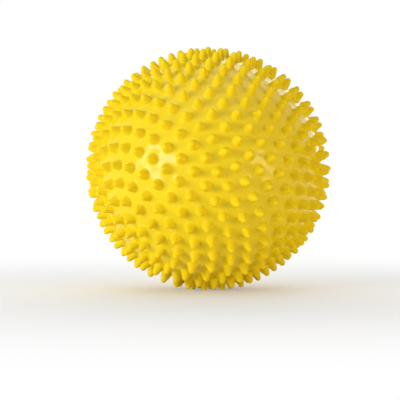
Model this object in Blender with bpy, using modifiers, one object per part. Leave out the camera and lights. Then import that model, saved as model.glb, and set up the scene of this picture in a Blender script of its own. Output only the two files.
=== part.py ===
"""Inflatable play ball with moulded spikes: a hollow skin, a valve seat and its stopper."""
import math

import bmesh
import bpy
from mathutils import Vector

# Driving dimensions of the skin, in metres
BODY_RADIUS = 0.0920
WALL = 0.0014
SPIKE_HEIGHT = 0.0080
SPIKE_BASE_RADIUS = 0.0046
SPIKE_TIP_RADIUS = 0.0024
SPIKE_PITCH = 0.01396
STANDING_FLAT = 0.0020

# The spikes stand on rings round one axis, and each ring starts a little further round
# than the one before it
PATTERN_AZIMUTH = math.radians(219.9)
PATTERN_ELEVATION = math.radians(-32.3)
FIRST_SPIKE_ANGLE = math.radians(232.0)
RING_TWIST = math.radians(11.07)

# Driving dimensions of the valve, in metres
VALVE_LAND_RADIUS = 0.0092
SPIKE_TO_LAND = 0.0012
SEAT_NECK_RADIUS = 0.0066
SEAT_RIM_RADIUS = 0.0082
SEAT_RIM_THICKNESS = 0.0010
SEAT_FLANGE_RADIUS = 0.0100
SEAT_FLANGE_THICKNESS = 0.0016
SEAT_LENGTH = 0.0120
SEAT_TAIL_RADIUS = 0.0056
STEM_RADIUS = 0.0031
STEM_LENGTH = 0.0135
STEM_POINT = 0.0012
HEAD_RADIUS = 0.0046
HEAD_THICKNESS = 0.0018
HEAD_EDGE = 0.0005
CLEARANCE = 0.0003

# Fineness of the round forms
SPIKE_SIDES = 5
LAND_CORNERS = 20
TURNED_STEPS = 24
HOLLOW_BANDS = 13
MERGE = 0.00001

# Colours and finish
SKIN_YELLOW = (0.88, 0.68, 0.03)
SEAT_YELLOW = (0.86, 0.64, 0.04)
PLUG_YELLOW = (0.90, 0.72, 0.08)
SKIN_ROUGHNESS = 0.35
VALVE_ROUGHNESS = 0.45
SHARP_ANGLE = math.radians(20)

# What follows from the driving dimensions
TIP_RADIUS = BODY_RADIUS + SPIKE_HEIGHT
CENTRE_HEIGHT = TIP_RADIUS - STANDING_FLAT
LAND_LEVEL = math.sqrt(BODY_RADIUS ** 2 - VALVE_LAND_RADIUS ** 2)
LAND_INSIDE = LAND_LEVEL - WALL
HOLE_RADIUS = SEAT_NECK_RADIUS + CLEARANCE
RIM_UNDERSIDE = LAND_LEVEL + CLEARANCE
RIM_TOP = RIM_UNDERSIDE + SEAT_RIM_THICKNESS
FLANGE_TOP = LAND_INSIDE - CLEARANCE
FLANGE_BOTTOM = FLANGE_TOP - SEAT_FLANGE_THICKNESS
SEAT_BOTTOM = RIM_TOP - SEAT_LENGTH
BORE_RADIUS = STEM_RADIUS + CLEARANCE
POCKET_RADIUS = HEAD_RADIUS + CLEARANCE
POCKET_BOTTOM = RIM_TOP - HEAD_THICKNESS - CLEARANCE
HEAD_BOTTOM = RIM_TOP - HEAD_THICKNESS
STEM_BOTTOM = HEAD_BOTTOM - STEM_LENGTH

VALVE_AXIS = Vector((0.0, 1.0, 0.0))
# Turned pieces are drawn round Z and laid down so that their Z points along the valve's axis
ALONG_VALVE = (-math.pi / 2, 0.0, 0.0)
LAND = -1


def clear_scene():
    """Removes every object that the file holds."""
    for old in list(bpy.data.objects):
        bpy.data.objects.remove(old, do_unlink=True)


def collection(name):
    """A new collection in the scene."""
    made = bpy.data.collections.new(name)
    bpy.context.scene.collection.children.link(made)
    return made


def material(name, color, roughness):
    """A plain plastic of one colour."""
    made = bpy.data.materials.new(name)
    made.use_nodes = True
    shader = made.node_tree.nodes["Principled BSDF"]
    shader.inputs["Base Color"].default_value = (*color, 1.0)
    shader.inputs["Roughness"].default_value = roughness
    shader.inputs["Metallic"].default_value = 0.0
    return made


def add_object(name, mesh, home, parent=None):
    """Puts a mesh in a collection as a named object."""
    made = bpy.data.objects.new(name, mesh)
    home.objects.link(made)
    made.parent = parent
    return made


def make_cutter(cutter):
    """Marks an object as a tool that isn't part of the ball."""
    cutter.hide_render = True
    cutter.display_type = "WIRE"


def cut(target, cutter):
    """Subtracts one object from another."""
    boolean = target.modifiers.new("cut " + cutter.name, "BOOLEAN")
    boolean.operation = "DIFFERENCE"
    boolean.solver = "EXACT"
    boolean.object = cutter


def pattern_frame():
    """The pattern's axis and two directions square to it, the first of them level."""
    level = math.cos(PATTERN_ELEVATION)
    axis = Vector((
        level * math.cos(PATTERN_AZIMUTH),
        level * math.sin(PATTERN_AZIMUTH),
        math.sin(PATTERN_ELEVATION),
    ))
    across = Vector((0.0, 0.0, 1.0)).cross(axis).normalized()
    return axis, across, axis.cross(across)


def ring_directions(ring, intervals):
    """Directions from the ball's centre to the spikes of one ring."""
    axis, across, upward = pattern_frame()
    polar = math.pi * ring / intervals
    ring_length = 2 * math.pi * BODY_RADIUS * math.sin(polar)
    count = max(1, round(ring_length / SPIKE_PITCH))
    start = FIRST_SPIKE_ANGLE + ring * RING_TWIST
    for place in range(count):
        angle = start + 2 * math.pi * place / count
        outward = math.cos(angle) * across + math.sin(angle) * upward
        yield math.cos(polar) * axis + math.sin(polar) * outward


def spike_directions():
    """Directions of all spikes, without those that would stand on the valve's land."""
    intervals = round(math.pi * BODY_RADIUS / SPIKE_PITCH)
    bare = (VALVE_LAND_RADIUS + SPIKE_TO_LAND + SPIKE_BASE_RADIUS) / BODY_RADIUS
    for ring in range(intervals + 1):
        for direction in ring_directions(ring, intervals):
            if direction.angle(VALVE_AXIS) > bare:
                yield direction


def circle_on_body(direction, radius, corners):
    """Corners of a circle that lies on the body sphere round a direction."""
    side = direction.orthogonal().normalized()
    other = direction.cross(side)
    centre = direction * math.sqrt(BODY_RADIUS ** 2 - radius ** 2)
    for corner in range(corners):
        angle = 2 * math.pi * corner / corners
        yield centre + radius * (math.cos(angle) * side + math.sin(angle) * other)


def raise_spike(face, direction):
    """Moves a freshly extruded base to the tip and narrows it."""
    base_centre = direction * math.sqrt(BODY_RADIUS ** 2 - SPIKE_BASE_RADIUS ** 2)
    tip_centre = direction * TIP_RADIUS
    for vert in face.verts:
        from_axis = vert.co - base_centre
        vert.co = tip_centre + from_axis * (SPIKE_TIP_RADIUS / SPIKE_BASE_RADIUS)


def skin_mesh():
    """The closed outer form of the skin: a faceted sphere with a tapered spike on every base."""
    directions = list(spike_directions())
    bm = bmesh.new()
    group = bm.verts.layers.int.new("group")
    for index, direction in enumerate(directions):
        for point in circle_on_body(direction, SPIKE_BASE_RADIUS, SPIKE_SIDES):
            bm.verts.new(point)[group] = index
    for point in circle_on_body(VALVE_AXIS, VALVE_LAND_RADIUS, LAND_CORNERS):
        bm.verts.new(point)[group] = LAND
    bmesh.ops.convex_hull(bm, input=bm.verts[:])
    bases = [face for face in bm.faces if len({vert[group] for vert in face.verts}) == 1]
    whole = bmesh.ops.dissolve_faces(bm, faces=bases)["region"]
    spikes = [face for face in whole if face.verts[0][group] != LAND]
    for face in bmesh.ops.extrude_discrete_faces(bm, faces=spikes)["faces"]:
        raise_spike(face, directions[face.verts[0][group]])
    bmesh.ops.recalc_face_normals(bm, faces=bm.faces[:])
    mesh = bpy.data.meshes.new("ball_skin")
    bm.to_mesh(mesh)
    bm.free()
    return mesh


def floor_mesh():
    """A block whose top is the level that the lowest tips are pressed flat to."""
    bm = bmesh.new()
    bmesh.ops.create_cube(bm, size=2 * TIP_RADIUS)
    bmesh.ops.translate(bm, vec=(0.0, 0.0, -TIP_RADIUS - CENTRE_HEIGHT), verts=bm.verts[:])
    mesh = bpy.data.meshes.new("floor_cutter")
    bm.to_mesh(mesh)
    bm.free()
    return mesh


def turned(name, profile, closed, home, parent):
    """A piece turned round the valve's axis from (radius, level) points, outer side first, downward."""
    mesh = bpy.data.meshes.new(name)
    edges = [(index, index + 1) for index in range(len(profile) - 1)]
    if closed:
        edges.append((len(profile) - 1, 0))
    mesh.from_pydata([(radius, 0.0, level) for radius, level in profile], edges, [])
    made = add_object(name, mesh, home, parent)
    made.rotation_euler = ALONG_VALVE
    screw = made.modifiers.new("turn", "SCREW")
    screw.axis = "Z"
    screw.angle = 2 * math.pi
    screw.steps = TURNED_STEPS
    screw.render_steps = TURNED_STEPS
    screw.use_merge_vertices = True
    screw.merge_threshold = MERGE
    screw.use_smooth_shade = True
    return made


def hollow_profile():
    """The valve's hole, a flat face inside it for the seat's flange, and the round air space."""
    hollow_radius = BODY_RADIUS - WALL
    flange_room = SEAT_FLANGE_RADIUS + 2 * CLEARANCE
    profile = [
        (0.0, TIP_RADIUS),
        (HOLE_RADIUS, TIP_RADIUS),
        (HOLE_RADIUS, LAND_INSIDE),
        (flange_room, LAND_INSIDE),
    ]
    first = math.asin(flange_room / hollow_radius)
    for band in range(HOLLOW_BANDS):
        angle = first + (math.pi - first) * band / HOLLOW_BANDS
        profile.append((hollow_radius * math.sin(angle), hollow_radius * math.cos(angle)))
    profile.append((0.0, -hollow_radius))
    return profile


def seat_profile():
    """A grommet: rim outside the skin, neck through it, flange and tail inside, bore with a pocket."""
    return [
        (SEAT_RIM_RADIUS - HEAD_EDGE, RIM_TOP),
        (SEAT_RIM_RADIUS, RIM_TOP - HEAD_EDGE),
        (SEAT_RIM_RADIUS, RIM_UNDERSIDE),
        (SEAT_NECK_RADIUS, RIM_UNDERSIDE),
        (SEAT_NECK_RADIUS, FLANGE_TOP),
        (SEAT_FLANGE_RADIUS, FLANGE_TOP),
        (SEAT_FLANGE_RADIUS, FLANGE_BOTTOM),
        (SEAT_TAIL_RADIUS, FLANGE_BOTTOM),
        (SEAT_TAIL_RADIUS, SEAT_BOTTOM),
        (BORE_RADIUS, SEAT_BOTTOM),
        (BORE_RADIUS, POCKET_BOTTOM),
        (POCKET_RADIUS, POCKET_BOTTOM),
        (POCKET_RADIUS, RIM_TOP),
    ]


def plug_profile():
    """A stopper: a flat head and a stem with a blunt point, in levels from the head's top."""
    return [
        (0.0, 0.0),
        (HEAD_RADIUS - HEAD_EDGE, 0.0),
        (HEAD_RADIUS, -HEAD_EDGE),
        (HEAD_RADIUS, HEAD_BOTTOM - RIM_TOP),
        (STEM_RADIUS, HEAD_BOTTOM - RIM_TOP),
        (STEM_RADIUS, STEM_BOTTOM + STEM_POINT - RIM_TOP),
        (STEM_RADIUS - STEM_POINT, STEM_BOTTOM - RIM_TOP),
        (0.0, STEM_BOTTOM - RIM_TOP),
    ]


def build_skin(ball, tools, centre):
    """The hollow skin with its spikes, valve hole and standing flats."""
    skin = add_object("ball_skin", skin_mesh(), ball, centre)
    hollow = turned("hollow_cutter", hollow_profile(), False, tools, centre)
    floor = add_object("floor_cutter", floor_mesh(), tools, centre)
    for cutter in (hollow, floor):
        make_cutter(cutter)
        cut(skin, cutter)
    skin.data.shade_smooth()
    skin.data.set_sharp_from_angle(angle=SHARP_ANGLE)
    skin.data.materials.append(material("skin_vinyl", SKIN_YELLOW, SKIN_ROUGHNESS))


def build_valve(ball, centre):
    """The seat in the skin and the stopper in the seat."""
    seat = turned("valve_seat", seat_profile(), True, ball, centre)
    seat.data.materials.append(material("seat_vinyl", SEAT_YELLOW, VALVE_ROUGHNESS))
    plug = turned("valve_plug", plug_profile(), False, ball, centre)
    plug.location = VALVE_AXIS * RIM_TOP
    plug.data.materials.append(material("plug_vinyl", PLUG_YELLOW, VALVE_ROUGHNESS))


def main():
    """Builds the ball standing on the plane z = 0, with its centre above the origin."""
    clear_scene()
    ball = collection("spiky_ball")
    tools = collection("cutters")
    centre = bpy.data.objects.new("ball_centre", None)
    ball.objects.link(centre)
    centre.location = (0.0, 0.0, CENTRE_HEIGHT)
    build_skin(ball, tools, centre)
    build_valve(ball, centre)


main()
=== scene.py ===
"""Looks of the inflatable spiky ball: a smooth vinyl skin with rounded spikes, and its valve."""
import math

import bmesh
import bpy
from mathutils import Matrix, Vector


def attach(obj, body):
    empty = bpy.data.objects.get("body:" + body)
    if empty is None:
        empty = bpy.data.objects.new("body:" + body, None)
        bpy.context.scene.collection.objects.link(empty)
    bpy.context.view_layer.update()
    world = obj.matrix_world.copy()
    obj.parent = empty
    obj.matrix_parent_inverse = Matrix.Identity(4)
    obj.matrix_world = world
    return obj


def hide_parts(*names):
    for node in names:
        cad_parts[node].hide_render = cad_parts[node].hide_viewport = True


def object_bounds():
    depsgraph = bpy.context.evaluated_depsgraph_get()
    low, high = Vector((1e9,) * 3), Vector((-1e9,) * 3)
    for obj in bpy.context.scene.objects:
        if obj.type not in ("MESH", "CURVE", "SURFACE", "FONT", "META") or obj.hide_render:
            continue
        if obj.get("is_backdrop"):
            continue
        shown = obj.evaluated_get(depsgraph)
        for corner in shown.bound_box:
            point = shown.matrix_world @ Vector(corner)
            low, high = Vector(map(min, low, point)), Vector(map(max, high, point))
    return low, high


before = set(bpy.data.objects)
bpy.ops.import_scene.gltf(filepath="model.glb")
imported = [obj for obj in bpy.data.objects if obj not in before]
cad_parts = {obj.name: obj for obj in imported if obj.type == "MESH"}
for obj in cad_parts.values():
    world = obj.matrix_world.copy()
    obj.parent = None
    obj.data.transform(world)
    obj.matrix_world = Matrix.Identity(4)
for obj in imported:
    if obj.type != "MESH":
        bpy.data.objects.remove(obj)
cad_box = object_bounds()

# Sizes of the skin, in metres, the same as the solids'
BODY_RADIUS = 0.0920
WALL = 0.0014
SPIKE_HEIGHT = 0.0080
SPIKE_BASE_RADIUS = 0.0045
SPIKE_DOME_RADIUS = 0.0024
SPIKE_FILLET = 0.0011
SPIKE_KEEP_OUT = 0.0046
SPIKE_PITCH = 0.01396
STANDING_FLAT = 0.0020

# The rings of spikes lie round one axis, and each starts a little further round than the last
PATTERN_AZIMUTH = math.radians(219.9)
PATTERN_ELEVATION = math.radians(-32.3)
FIRST_SPIKE_ANGLE = math.radians(232.0)
RING_TWIST = math.radians(11.07)

# Sizes of the valve, in metres
VALVE_LAND_RADIUS = 0.0092
SPIKE_TO_LAND = 0.0012
SEAT_NECK_RADIUS = 0.0066
SEAT_RIM_RADIUS = 0.0082
SEAT_RIM_THICKNESS = 0.0010
SEAT_FLANGE_RADIUS = 0.0100
SEAT_FLANGE_THICKNESS = 0.0016
SEAT_LENGTH = 0.0120
SEAT_TAIL_RADIUS = 0.0056
STEM_RADIUS = 0.0031
STEM_LENGTH = 0.0135
STEM_POINT = 0.0012
HEAD_RADIUS = 0.0046
HEAD_THICKNESS = 0.0018
CLEARANCE = 0.0003

# How round the valve's edges are, as radii in metres
RIM_EDGE = 0.0006
SEAT_EDGE = 0.0003
HEAD_EDGE = 0.0006
HEAD_BACK_EDGE = 0.0002
STEM_EDGE = 0.0008

# Fineness of the meshes, and the angle from which an edge is shaded sharp
SPIKE_SIDES = 12
FILLET_STEPS = 3
CONE_STEPS = 2
DOME_STEPS = 4
LAND_CORNERS = 48
HOLLOW_BANDS = 26
TURNED_STEPS = 64
EDGE_STEPS = 4
SHARP_ANGLE = math.radians(40)

# What follows from the sizes
TIP_RADIUS = BODY_RADIUS + SPIKE_HEIGHT
CENTRE = Vector((0.0, 0.0, TIP_RADIUS - STANDING_FLAT))
LAND_LEVEL = math.sqrt(BODY_RADIUS ** 2 - VALVE_LAND_RADIUS ** 2)
LAND_INSIDE = LAND_LEVEL - WALL
HOLE_RADIUS = SEAT_NECK_RADIUS + CLEARANCE
RIM_UNDERSIDE = LAND_LEVEL + CLEARANCE
RIM_TOP = RIM_UNDERSIDE + SEAT_RIM_THICKNESS
FLANGE_TOP = LAND_INSIDE - CLEARANCE
FLANGE_BOTTOM = FLANGE_TOP - SEAT_FLANGE_THICKNESS
SEAT_BOTTOM = RIM_TOP - SEAT_LENGTH
BORE_RADIUS = STEM_RADIUS + CLEARANCE
POCKET_RADIUS = HEAD_RADIUS + CLEARANCE
HEAD_BOTTOM = RIM_TOP - HEAD_THICKNESS
POCKET_BOTTOM = HEAD_BOTTOM - CLEARANCE
STEM_BOTTOM = HEAD_BOTTOM - STEM_LENGTH
VALVE_AXIS = Vector((0.0, 1.0, 0.0))

# The photograph's framing: where the ball's centre and outline lie in its 400 by 400 pixels
PICTURE = 400
BALL_PIXEL = (208.1, 169.4)
OUTLINE_PIXELS = 122.5
CAMERA_DISTANCE = 1.4
SENSOR_MM = 36.0

# The vinyl: its gloss, which turns to satin as the skin rises into a spike, and how light sinks into it
SKIN_COLOR = (0.87, 0.65, 0.002)
SEAT_COLOR = (0.87, 0.60, 0.010)
PLUG_COLOR = (0.89, 0.66, 0.020)
SKIN_ROUGHNESS = 0.20
SPIKE_ROUGHNESS = 0.80
VALVE_ROUGHNESS = 0.40
SATIN_START = 0.0001
SATIN_FULL = 0.0010
VINYL_IOR = 1.5
SHEEN_LEVEL = 0.28
SUBSURFACE = 0.10
LIGHT_DEPTH = (0.005, 0.0025, 0.0004)

# Its unevenness: faint clouds in the colour and the gloss, and the fine grain of the mould
CLOUD_SCALE = 40.0
CLOUD_DETAIL = 3.0
CLOUD_DARK_END = 0.3
CLOUD_LIGHT_END = 0.7
CLOUD_COLOR = 0.03
CLOUD_ROUGHNESS = 0.04
GRAIN_SCALE = 900.0
GRAIN_DETAIL = 2.0
GRAIN_STRENGTH = 0.15
GRAIN_DEPTH = 0.0001

# The light: a pale surround and four lamps at one distance, in degrees, metres and watts
WHITE = (1.0, 1.0, 1.0, 1.0)
SURROUND = 0.30
LAMP_DISTANCE = 1.6
PLAIN_LIGHT = (1.0, 1.0, 1.0)
WARM_LIGHT = (1.0, 0.80, 0.45)
KEY_LAMP = {"shape": "RECTANGLE", "azimuth": -51, "elevation": 0, "size": (0.95, 0.95), "power": 27.0}
FILL_LAMP = {"shape": "ELLIPSE", "azimuth": 54, "elevation": 0, "size": (0.60, 0.76), "power": 10.0}
TOP_LAMP = {"shape": "RECTANGLE", "azimuth": 0, "elevation": 88, "size": (2.2, 2.2), "power": 9.0}
BACK_LAMP = {"shape": "RECTANGLE", "azimuth": 180, "elevation": 22, "size": (2.0, 1.6), "power": 14.5}

# The floor, its share of the backdrop's white, and how far out that share starts and stops growing
FLOOR_RADIUS = 6.0
FLOOR_CORNERS = 96
FLOOR_COLOR = (0.90, 0.90, 0.90, 1.0)
FLOOR_ROUGHNESS = 0.9
WHITE_SHARE = 0.25
FADE_START = 0.12
FADE_END = 0.60


def pattern_frame():
    """The pattern's axis and two directions square to it, the first of them level."""
    level = math.cos(PATTERN_ELEVATION)
    axis = Vector((
        level * math.cos(PATTERN_AZIMUTH),
        level * math.sin(PATTERN_AZIMUTH),
        math.sin(PATTERN_ELEVATION),
    ))
    across = Vector((0.0, 0.0, 1.0)).cross(axis).normalized()
    return axis, across, axis.cross(across)


def ring_directions(ring, intervals):
    """Directions from the ball's centre to the spikes of one ring."""
    axis, across, upward = pattern_frame()
    polar = math.pi * ring / intervals
    ring_length = 2 * math.pi * BODY_RADIUS * math.sin(polar)
    count = max(1, round(ring_length / SPIKE_PITCH))
    start = FIRST_SPIKE_ANGLE + ring * RING_TWIST
    for place in range(count):
        angle = start + 2 * math.pi * place / count
        outward = math.cos(angle) * across + math.sin(angle) * upward
        yield math.cos(polar) * axis + math.sin(polar) * outward


def spike_directions():
    """Directions of all spikes, without those that would stand on the valve's land."""
    intervals = round(math.pi * BODY_RADIUS / SPIKE_PITCH)
    bare = (VALVE_LAND_RADIUS + SPIKE_TO_LAND + SPIKE_KEEP_OUT) / BODY_RADIUS
    for ring in range(intervals + 1):
        for direction in ring_directions(ring, intervals):
            if direction.angle(VALVE_AXIS) > bare:
                yield direction


def arc(centre, radius, first, last, steps):
    """Points on a circle of a profile, from one angle to another in degrees."""
    for step in range(steps + 1):
        angle = math.radians(first + (last - first) * step / steps)
        yield centre[0] + radius * math.cos(angle), centre[1] + radius * math.sin(angle)


def spike_profile():
    """A spike's outline as (radius, height) from the skin to the tip: fillet, cone and dome."""
    dome_centre = SPIKE_HEIGHT - SPIKE_DOME_RADIUS
    reach = math.hypot(SPIKE_BASE_RADIUS, dome_centre)
    slope = math.asin(SPIKE_BASE_RADIUS / reach) - math.asin(SPIKE_DOME_RADIUS / reach)
    slope_degrees = math.degrees(slope)
    fillet_reach = SPIKE_BASE_RADIUS + SPIKE_FILLET * (1 / math.cos(slope) - math.tan(slope))
    fillet_centre = (fillet_reach, SPIKE_FILLET)
    profile = list(arc(fillet_centre, SPIKE_FILLET, 270, 180 + slope_degrees, FILLET_STEPS))
    dome = list(arc((0.0, dome_centre), SPIKE_DOME_RADIUS, slope_degrees, 90, DOME_STEPS))
    foot = profile[-1]
    shoulder = dome[0]
    for step in range(1, CONE_STEPS):
        share = step / CONE_STEPS
        profile.append((
            foot[0] + share * (shoulder[0] - foot[0]),
            foot[1] + share * (shoulder[1] - foot[1]),
        ))
    return profile + dome[:-1]


def circle_directions(direction, corners):
    """Unit directions square to a given one, once round it."""
    side = direction.orthogonal().normalized()
    other = direction.cross(side)
    for corner in range(corners):
        angle = 2 * math.pi * corner / corners
        yield math.cos(angle) * side + math.sin(angle) * other


def skin_surface_faces(corners):
    """Faces between the spikes: the hull of the circles on the body, without the circles' own discs."""
    bm = bmesh.new()
    owner = bm.verts.layers.int.new("owner")
    number = bm.verts.layers.int.new("number")
    for index, (point, of_circle) in enumerate(corners):
        vert = bm.verts.new(point)
        vert[owner] = of_circle
        vert[number] = index
    bmesh.ops.convex_hull(bm, input=bm.verts[:])
    faces = []
    for face in bm.faces:
        if len({vert[owner] for vert in face.verts}) > 1:
            faces.append(tuple(vert[number] for vert in face.verts))
    bm.free()
    return faces


def add_rings(verts, faces, first_ring, rings, last):
    """Joins further rings of points to a ring that is there already, and closes them with a point."""
    below = first_ring
    count = len(first_ring)
    for ring in rings:
        above = list(range(len(verts), len(verts) + count))
        verts.extend(ring)
        for corner in range(count):
            after = (corner + 1) % count
            faces.append((below[corner], below[after], above[after], above[corner]))
        below = above
    verts.append(last)
    for corner in range(count):
        faces.append((below[corner], below[(corner + 1) % count], len(verts) - 1))


def hollow_profile():
    """From the valve's land through the hole to the inside of the skin, and round to its far pole."""
    hollow_radius = BODY_RADIUS - WALL
    flange_room = SEAT_FLANGE_RADIUS + 2 * CLEARANCE
    profile = [
        (HOLE_RADIUS + CLEARANCE, LAND_LEVEL),
        (HOLE_RADIUS, LAND_LEVEL - CLEARANCE),
        (HOLE_RADIUS, LAND_INSIDE),
        (flange_room, LAND_INSIDE),
    ]
    first = math.asin(flange_room / hollow_radius)
    for band in range(HOLLOW_BANDS):
        angle = first + (math.pi - first) * band / HOLLOW_BANDS
        profile.append((hollow_radius * math.sin(angle), hollow_radius * math.cos(angle)))
    return profile, -hollow_radius


def build_skin():
    """The whole skin as one closed mesh: body, spikes, the valve's hole and the inside."""
    profile = spike_profile()
    foot_radius = profile[0][0]
    foot_level = math.sqrt(BODY_RADIUS ** 2 - foot_radius ** 2)
    corners = []
    rounds = []
    for index, direction in enumerate(spike_directions()):
        around = list(circle_directions(direction, SPIKE_SIDES))
        rounds.append((direction, around))
        corners.extend((direction * foot_level + side * foot_radius, index) for side in around)
    land_start = len(corners)
    land_around = list(circle_directions(VALVE_AXIS, LAND_CORNERS))
    corners.extend((VALVE_AXIS * LAND_LEVEL + side * VALVE_LAND_RADIUS, -1) for side in land_around)
    faces = skin_surface_faces(corners)
    verts = [point for point, owner in corners]
    for index, (direction, around) in enumerate(rounds):
        first_ring = list(range(index * SPIKE_SIDES, (index + 1) * SPIKE_SIDES))
        rings = []
        for radius, height in profile[1:]:
            level = math.sqrt(BODY_RADIUS ** 2 - radius ** 2) + height
            rings.append([direction * level + side * radius for side in around])
        add_rings(verts, faces, first_ring, rings, direction * TIP_RADIUS)
    inside, pole = hollow_profile()
    rings = [[VALVE_AXIS * level + side * radius for side in land_around] for radius, level in inside]
    add_rings(verts, faces, list(range(land_start, land_start + LAND_CORNERS)), rings, VALVE_AXIS * pole)
    placed = [(v.x, v.y, max(0.0, v.z + CENTRE.z)) for v in verts]
    return finish_mesh("ball_skin_smooth", placed, faces)


def finish_mesh(name, verts, faces):
    """Makes an object of points and faces, all facing out, smooth but for its sharp edges."""
    mesh = bpy.data.meshes.new(name)
    mesh.from_pydata(verts, [], faces)
    bm = bmesh.new()
    bm.from_mesh(mesh)
    bmesh.ops.recalc_face_normals(bm, faces=bm.faces[:])
    bm.to_mesh(mesh)
    bm.free()
    mesh.shade_smooth()
    mesh.set_sharp_from_angle(angle=SHARP_ANGLE)
    made = bpy.data.objects.new(name, mesh)
    bpy.context.collection.objects.link(made)
    return made


def rounded(profile, radii):
    """Rounds the corners of a closed profile, each with its own radius."""
    out = []
    count = len(profile)
    for index, (corner, radius) in enumerate(zip(profile, radii)):
        here = Vector(corner)
        if radius == 0:
            out.append(corner)
            continue
        before = (Vector(profile[index - 1]) - here).normalized()
        after = (Vector(profile[(index + 1) % count]) - here).normalized()
        half = before.angle(after) / 2
        back = radius / math.tan(half)
        centre = here + (before + after).normalized() * (radius / math.sin(half))
        start = here + before * back - centre
        turn = (here + after * back - centre).angle_signed(start)
        for step in range(EDGE_STEPS + 1):
            angle = -turn * step / EDGE_STEPS
            cosine = math.cos(angle)
            sine = math.sin(angle)
            out.append((
                centre.x + start.x * cosine + start.y * sine,
                centre.y - start.x * sine + start.y * cosine,
            ))
    return out


def turned(name, profile, closed):
    """A piece turned round the valve's axis from (radius, level) points."""
    around = list(circle_directions(VALVE_AXIS, TURNED_STEPS))
    verts = []
    rings = []
    for radius, level in profile:
        if radius == 0:
            rings.append([len(verts)] * TURNED_STEPS)
            verts.append(CENTRE + VALVE_AXIS * level)
            continue
        rings.append(list(range(len(verts), len(verts) + TURNED_STEPS)))
        verts.extend(CENTRE + VALVE_AXIS * level + side * radius for side in around)
    pairs = list(zip(rings, rings[1:] + rings[:1])) if closed else list(zip(rings, rings[1:]))
    faces = []
    for upper, lower in pairs:
        for corner in range(TURNED_STEPS):
            after = (corner + 1) % TURNED_STEPS
            quad = (upper[corner], upper[after], lower[after], lower[corner])
            faces.append(tuple(dict.fromkeys(quad)))
    return finish_mesh(name, [tuple(v) for v in verts], faces)


def build_seat():
    """The grommet: rim outside, neck through the skin, flange and tail inside, bore with a pocket."""
    profile = [
        (SEAT_RIM_RADIUS, RIM_TOP),
        (SEAT_RIM_RADIUS, RIM_UNDERSIDE),
        (SEAT_NECK_RADIUS, RIM_UNDERSIDE),
        (SEAT_NECK_RADIUS, FLANGE_TOP),
        (SEAT_FLANGE_RADIUS, FLANGE_TOP),
        (SEAT_FLANGE_RADIUS, FLANGE_BOTTOM),
        (SEAT_TAIL_RADIUS, FLANGE_BOTTOM),
        (SEAT_TAIL_RADIUS, SEAT_BOTTOM),
        (BORE_RADIUS, SEAT_BOTTOM),
        (BORE_RADIUS, POCKET_BOTTOM),
        (POCKET_RADIUS, POCKET_BOTTOM),
        (POCKET_RADIUS, RIM_TOP),
    ]
    radii = [RIM_EDGE, 0, 0, 0] + [SEAT_EDGE] * 6 + [0, SEAT_EDGE]
    return turned("valve_grommet", rounded(profile, radii), True)


def build_plug():
    """The stopper: a head with a rounded edge and a stem with a blunt point."""
    profile = [
        (0.0, RIM_TOP),
        (HEAD_RADIUS, RIM_TOP),
        (HEAD_RADIUS, HEAD_BOTTOM),
        (STEM_RADIUS, HEAD_BOTTOM),
        (STEM_RADIUS, STEM_BOTTOM + STEM_POINT),
        (STEM_RADIUS - STEM_POINT, STEM_BOTTOM),
        (0.0, STEM_BOTTOM),
    ]
    radii = [0, HEAD_EDGE, HEAD_BACK_EDGE, 0, STEM_EDGE, STEM_EDGE, 0]
    return turned("valve_stopper", rounded(profile, radii), False)


def noise(nodes, links, place, scale, detail):
    """Soft noise at a given scale, a number round one half."""
    made = nodes.new("ShaderNodeTexNoise")
    made.inputs["Scale"].default_value = scale
    made.inputs["Detail"].default_value = detail
    links.new(place, made.inputs["Vector"])
    return made.outputs["Fac"]


def spread(nodes, links, number, middle, reach):
    """Turns a number from 0 to 1 into one that lies as far as the reach to either side of a middle."""
    span = nodes.new("ShaderNodeMapRange")
    span.inputs["To Min"].default_value = middle - reach
    span.inputs["To Max"].default_value = middle + reach
    links.new(number, span.inputs["Value"])
    return span.outputs["Result"]


def clouded(nodes, links, cloud, color):
    """A colour that is a little darker and lighter in clouds."""
    shade = nodes.new("ShaderNodeValToRGB")
    dark, light = shade.color_ramp.elements
    dark.position = CLOUD_DARK_END
    light.position = CLOUD_LIGHT_END
    dark.color = (*[level * (1 - CLOUD_COLOR) for level in color], 1.0)
    light.color = (*[level * (1 + CLOUD_COLOR) for level in color], 1.0)
    links.new(cloud, shade.inputs["Fac"])
    return shade.outputs["Color"]


def raised_share(nodes, links, place):
    """How far a point has left the body's surface for a spike: 0 on the body, 1 on the spikes."""
    far = nodes.new("ShaderNodeVectorMath")
    far.operation = "DISTANCE"
    far.inputs[1].default_value = CENTRE
    links.new(place, far.inputs[0])
    share = nodes.new("ShaderNodeMapRange")
    share.interpolation_type = "SMOOTHSTEP"
    share.inputs["From Min"].default_value = BODY_RADIUS + SATIN_START
    share.inputs["From Max"].default_value = BODY_RADIUS + SATIN_FULL
    links.new(far.outputs["Value"], share.inputs["Value"])
    return share.outputs["Result"]


def satin_spikes(nodes, links, place, roughness):
    """Gives the spikes their own roughness and leaves the body's between them."""
    mix = nodes.new("ShaderNodeMix")
    links.new(raised_share(nodes, links, place), mix.inputs["Factor"])
    links.new(roughness, mix.inputs["A"])
    mix.inputs["B"].default_value = SPIKE_ROUGHNESS
    return mix.outputs["Result"]


def mould_grain(nodes, links, place):
    """The fine unevenness that the mould leaves, as a normal."""
    bump = nodes.new("ShaderNodeBump")
    bump.inputs["Strength"].default_value = GRAIN_STRENGTH
    bump.inputs["Distance"].default_value = GRAIN_DEPTH
    links.new(noise(nodes, links, place, GRAIN_SCALE, GRAIN_DETAIL), bump.inputs["Height"])
    return bump.outputs["Normal"]


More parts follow.
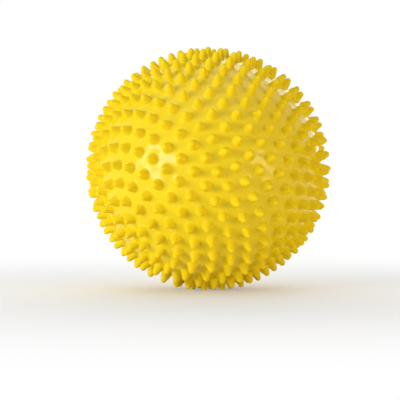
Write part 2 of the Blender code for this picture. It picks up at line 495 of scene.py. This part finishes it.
def vinyl(name, color, roughness, spiky=False):
    """Soft moulded vinyl, which light sinks into a little."""
    made = bpy.data.materials.new(name)
    made.use_nodes = True
    nodes = made.node_tree.nodes
    links = made.node_tree.links
    shader = nodes["Principled BSDF"]
    shader.inputs["IOR"].default_value = VINYL_IOR
    shader.inputs["Specular IOR Level"].default_value = SHEEN_LEVEL
    shader.inputs["Subsurface Weight"].default_value = SUBSURFACE
    shader.inputs["Subsurface Radius"].default_value = LIGHT_DEPTH
    shader.inputs["Subsurface Scale"].default_value = 1.0
    place = nodes.new("ShaderNodeTexCoord").outputs["Object"]
    cloud = noise(nodes, links, place, CLOUD_SCALE, CLOUD_DETAIL)
    gloss = spread(nodes, links, cloud, roughness, CLOUD_ROUGHNESS)
    if spiky:
        gloss = satin_spikes(nodes, links, place, gloss)
    links.new(clouded(nodes, links, cloud, color), shader.inputs["Base Color"])
    links.new(gloss, shader.inputs["Roughness"])
    links.new(mould_grain(nodes, links, place), shader.inputs["Normal"])
    return made


def reckon(tree, operation, first, second):
    """What one calculation on two numbers of a node tree gives."""
    made = tree.nodes.new("ShaderNodeMath")
    made.operation = operation
    tree.links.new(first, made.inputs[0])
    tree.links.new(second, made.inputs[1])
    return made.outputs[0]


def white_when_seen(tree, own, white, share=None):
    """A shader's own light, but white, or a share of white, to the camera and to mirror rays."""
    path = tree.nodes.new("ShaderNodeLightPath")
    seen = reckon(tree, "MAXIMUM", path.outputs["Is Camera Ray"], path.outputs["Is Glossy Ray"])
    seen = reckon(tree, "MAXIMUM", seen, path.outputs["Is Transmission Ray"])
    if share is not None:
        seen = reckon(tree, "MULTIPLY", seen, share)
    mix = tree.nodes.new("ShaderNodeMixShader")
    tree.links.new(seen, mix.inputs["Fac"])
    tree.links.new(own, mix.inputs[1])
    tree.links.new(white, mix.inputs[2])
    return mix.outputs[0]


def background(tree, strength):
    """Plain white light of one strength from all round."""
    made = tree.nodes.new("ShaderNodeBackground")
    made.inputs["Color"].default_value = WHITE
    made.inputs["Strength"].default_value = strength
    return made.outputs[0]


def build_world():
    """A pale surround that lights the ball softly and is white to the camera."""
    world = bpy.data.worlds.new("studio")
    bpy.context.scene.world = world
    world.use_nodes = True
    tree = world.node_tree
    tree.nodes.clear()
    look = white_when_seen(tree, background(tree, SURROUND), background(tree, 1.0))
    out = tree.nodes.new("ShaderNodeOutputWorld")
    tree.links.new(look, out.inputs["Surface"])


def white_share(tree):
    """How much of the backdrop's white a place on the floor shows: all of it far from the ball."""
    place = tree.nodes.new("ShaderNodeTexCoord")
    far = tree.nodes.new("ShaderNodeVectorMath")
    far.operation = "LENGTH"
    tree.links.new(place.outputs["Object"], far.inputs[0])
    fade = tree.nodes.new("ShaderNodeMapRange")
    fade.interpolation_type = "SMOOTHSTEP"
    fade.inputs["From Min"].default_value = FADE_START
    fade.inputs["From Max"].default_value = FADE_END
    fade.inputs["To Min"].default_value = WHITE_SHARE
    tree.links.new(far.outputs["Value"], fade.inputs["Value"])
    return fade.outputs["Result"]


def floor_paint():
    """Pale matt paint that keeps the ball's shadow and runs out to white."""
    paint = bpy.data.materials.new("floor_paint")
    paint.use_nodes = True
    tree = paint.node_tree
    shader = tree.nodes["Principled BSDF"]
    shader.inputs["Base Color"].default_value = FLOOR_COLOR
    shader.inputs["Roughness"].default_value = FLOOR_ROUGHNESS
    white = tree.nodes.new("ShaderNodeEmission")
    look = white_when_seen(tree, shader.outputs[0], white.outputs[0], white_share(tree))
    tree.links.new(look, tree.nodes["Material Output"].inputs["Surface"])
    return paint


def build_floor():
    """The floor that the ball stands on."""
    bpy.ops.mesh.primitive_circle_add(vertices=FLOOR_CORNERS, radius=FLOOR_RADIUS, fill_type="NGON")
    floor = bpy.context.object
    floor.name = "floor"
    floor.data.materials.append(floor_paint())
    floor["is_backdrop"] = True


def lamp(name, color, shape, azimuth, elevation, size, power):
    """A soft lamp that points at the ball; its azimuth grows to the right from the camera's side."""
    light = bpy.data.lights.new(name, "AREA")
    light.color = color
    light.shape = shape
    light.size, light.size_y = size
    light.energy = power
    made = bpy.data.objects.new(name, light)
    made.visible_camera = False
    bpy.context.collection.objects.link(made)
    side = math.radians(azimuth)
    up = math.radians(elevation)
    toward = Vector((math.cos(up) * math.sin(side), -math.cos(up) * math.cos(side), math.sin(up)))
    made.location = CENTRE + toward * LAMP_DISTANCE
    made.rotation_euler = toward.to_track_quat("Z", "Y").to_euler()


def build_lamps():
    """The key on the left, the fill on the right and the wide lamps above and behind."""
    lamp("key", PLAIN_LIGHT, **KEY_LAMP)
    lamp("fill", WARM_LIGHT, **FILL_LAMP)
    lamp("top", PLAIN_LIGHT, **TOP_LAMP)
    lamp("back", PLAIN_LIGHT, **BACK_LAMP)


def build_camera():
    """A camera level with the ball's centre, framed as the photograph is."""
    data = bpy.data.cameras.new("camera")
    ratio = CAMERA_DISTANCE / TIP_RADIUS
    focal_pixels = OUTLINE_PIXELS * math.sqrt(ratio ** 2 - 1)
    data.sensor_width = SENSOR_MM
    data.lens = focal_pixels * SENSOR_MM / PICTURE
    made = bpy.data.objects.new("camera", data)
    bpy.context.collection.objects.link(made)
    made.location = CENTRE + Vector((0.0, -CAMERA_DISTANCE, 0.0))
    per_pixel = CAMERA_DISTANCE / focal_pixels
    aim = CENTRE + Vector((
        (PICTURE / 2 - BALL_PIXEL[0]) * per_pixel,
        0.0,
        (BALL_PIXEL[1] - PICTURE / 2) * per_pixel,
    ))
    made.rotation_euler = (aim - made.location).to_track_quat("-Z", "Y").to_euler()
    bpy.context.scene.camera = made


def build_ball():
    """The three pieces with their finish, each riding on its body."""
    skin = build_skin()
    skin.data.materials.append(vinyl("skin_vinyl", SKIN_COLOR, SKIN_ROUGHNESS, spiky=True))
    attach(skin, "ball")
    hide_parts("ball_skin")
    seat = build_seat()
    seat.data.materials.append(vinyl("seat_vinyl", SEAT_COLOR, VALVE_ROUGHNESS))
    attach(seat, "ball")
    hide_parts("valve_seat")
    plug = build_plug()
    plug.data.materials.append(vinyl("plug_vinyl", PLUG_COLOR, VALVE_ROUGHNESS))
    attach(plug, "stopper")
    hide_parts("valve_plug")


def main():
    """Builds the ball, the studio and the camera."""
    bpy.context.scene.view_settings.view_transform = "Standard"
    build_ball()
    build_floor()
    build_world()
    build_lamps()
    build_camera()
    for box in (cad_box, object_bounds()):
        str([list(map(float, corner)) for corner in box]) + "\n"


main()
